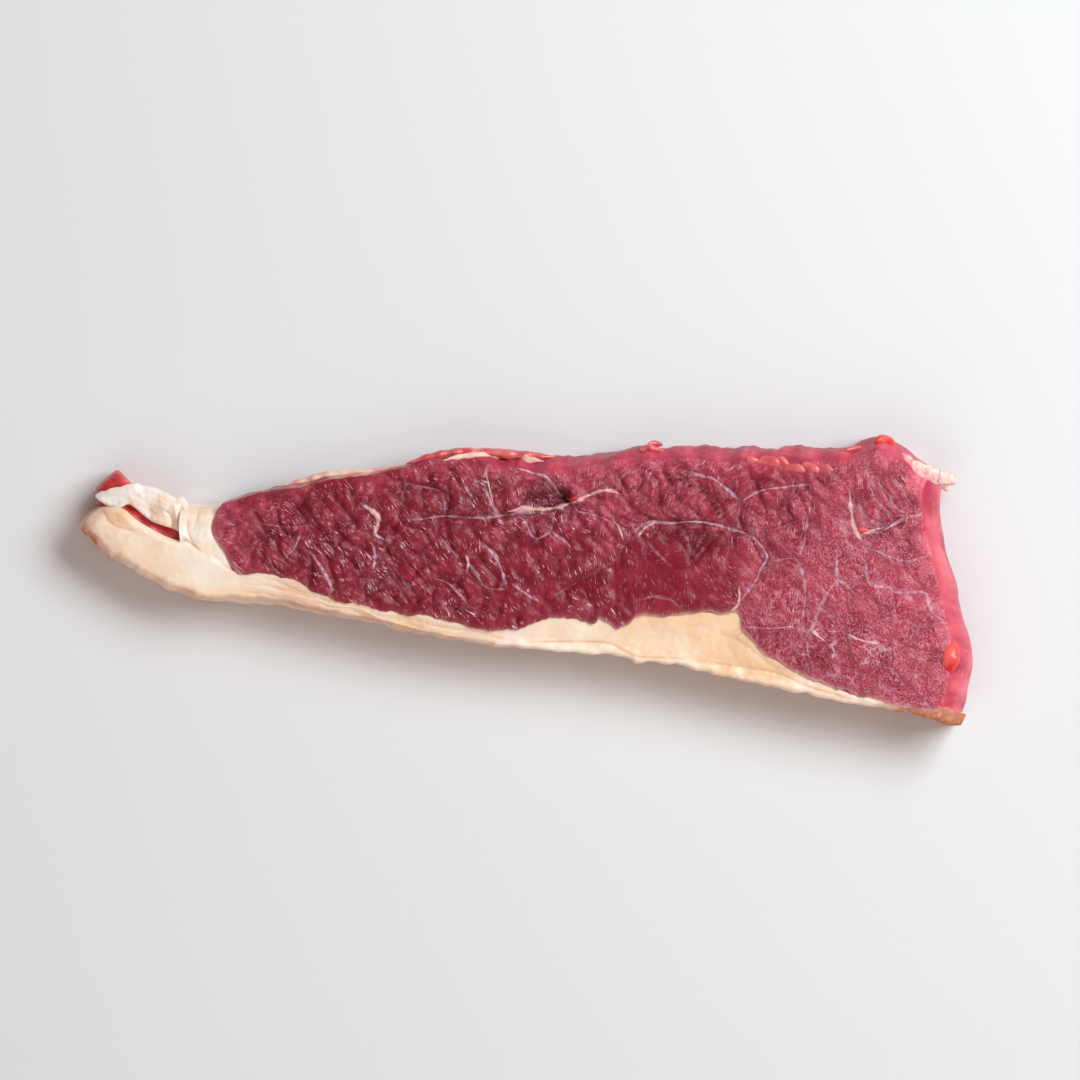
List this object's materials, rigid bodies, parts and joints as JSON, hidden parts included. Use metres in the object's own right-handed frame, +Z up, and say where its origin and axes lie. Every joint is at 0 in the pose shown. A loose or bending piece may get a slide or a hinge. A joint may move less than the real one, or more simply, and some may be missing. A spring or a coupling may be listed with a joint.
{
  "type": "raw sirloin steak",
  "caption": "Raw sirloin steak: one long slice, broad at one end, with a band of fat along one edge and a fatty, slit tail at the narrow end.",
  "frame": {"origin": "centre of the steak's footprint box, on the surface that it lies on", "axes": "+X from the fatty tail to the broad butt end, +Y from the fat edge to the trimmed edge, +Z up out of the cut face"},
  "size_m": [0.2399, 0.078, 0.0204],
  "materials": {
    "muscle": "moist cut muscle, satin with wet glints",
    "fat": "waxy cream fat, satin",
    "inner_muscle": "wet deep red muscle, glossy"
  },
  "bodies": {
    "root": {"lean": "muscle", "fat_cap": "fat", "tail_flap": "fat", "tail_lean": "inner_muscle"}
  },
  "joints": []
}
